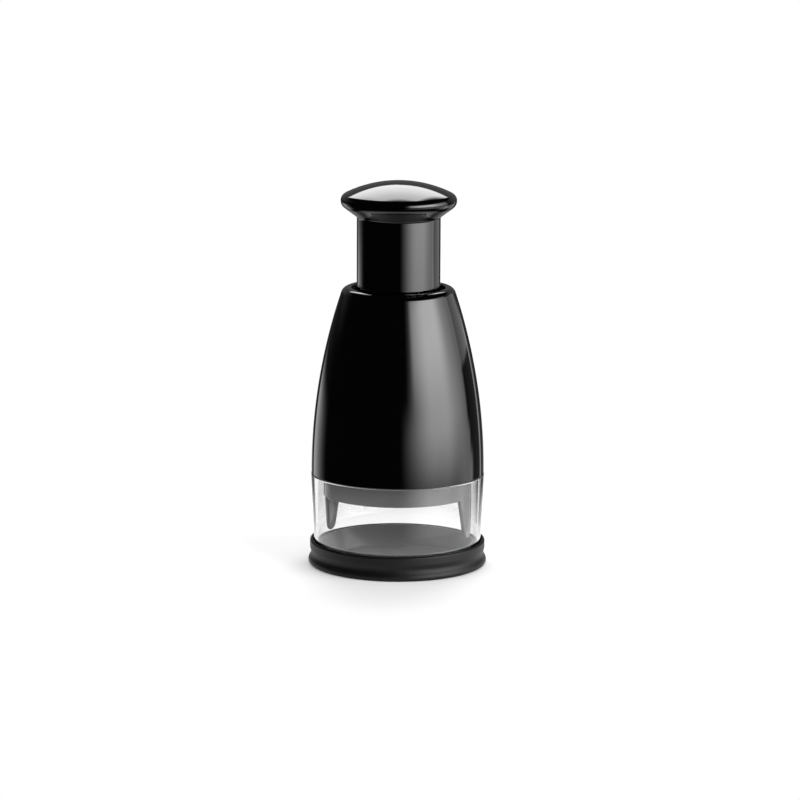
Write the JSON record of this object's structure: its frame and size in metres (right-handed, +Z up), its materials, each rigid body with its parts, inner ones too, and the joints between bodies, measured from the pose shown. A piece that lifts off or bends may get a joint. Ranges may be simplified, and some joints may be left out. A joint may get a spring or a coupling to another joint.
{
  "type": "push-down food chopper",
  "caption": "Hand chopper: a domed knob on a sprung stem drives folded blades down through a clear cup onto a tray, and a fluted spindle turns them on each stroke.",
  "frame": {"origin": "centre of the rubber foot ring on the surface that it stands on", "axes": "+Z up along the axis of the plunger, front towards -Y, one guard tongue at the right front"},
  "size_m": [0.0956, 0.0956, 0.2061],
  "materials": {
    "black_rubber": "matte moulded rubber",
    "tray_grey_plastic": "satin moulded plastic",
    "clear_plastic": "clear polished plastic",
    "gloss_black_plastic": "polished moulded plastic",
    "black_acetal": "plain moulded plastic",
    "smoke_grey_plastic": "satin moulded plastic",
    "white_acetal": "plain moulded plastic",
    "spindle_acetal": "plain moulded plastic",
    "bumper_rubber": "matte rubber",
    "bush_bronze": "sintered bronze",
    "fastener_steel": "zinc plated",
    "spring_steel": "drawn wire",
    "blade_steel": "brushed stainless steel with a ground edge"
  },
  "bodies": {
    "base": {"base_grip": "black_rubber", "base_tray": "tray_grey_plastic"},
    "cup": {"clear_cup": "clear_plastic"},
    "housing": {"housing_shell": "gloss_black_plastic", "neck_bush": "black_acetal", "mechanism_plate": "black_acetal", "plate_screws": "fastener_steel", "blade_guard": "smoke_grey_plastic", "index_nut": "white_acetal", "nut_retainer": "fastener_steel", "return_spring": "spring_steel", "stroke_bumper": "bumper_rubber"},
    "plunger": {"plunger_stem": "gloss_black_plastic", "knob_cap": "gloss_black_plastic", "stem_foot": "black_acetal", "stem_foot_screws": "fastener_steel", "spindle_bush": "bush_bronze"},
    "blades": {"thrust_washer": "white_acetal", "blade_spindle": "spindle_acetal", "spindle_washer": "fastener_steel", "spindle_screw": "fastener_steel", "blade_hub": "smoke_grey_plastic", "hub_screw": "fastener_steel", "blade_1": "blade_steel", "blade_2": "blade_steel"}
  },
  "joints": [
    {"name": "cup_lift", "type": "slide", "parent": "base", "child": "cup", "axis": [0, 0, 1], "range_m": [0, 0.03]},
    {"name": "housing_lift", "type": "slide", "parent": "cup", "child": "housing", "axis": [0, 0, 1], "range_m": [0, 0.06]},
    {"name": "plunger_press", "type": "slide", "parent": "housing", "child": "plunger", "axis": [0, 0, -1], "range_m": [0, 0.0354], "stiffness_N_per_m": 350, "springref_m": -0.03, "deforming": ["return_spring"]},
    {"name": "blade_index", "type": "hinge", "parent": "plunger", "child": "blades", "pos_m": [0, 0, 0.06], "axis": [0, 0, -1], "range_deg": [0, 45]}
  ],
  "couplings": [
    {"joint": "blade_index", "follows": "plunger_press", "rad_per_m": 22.186}
  ]
}
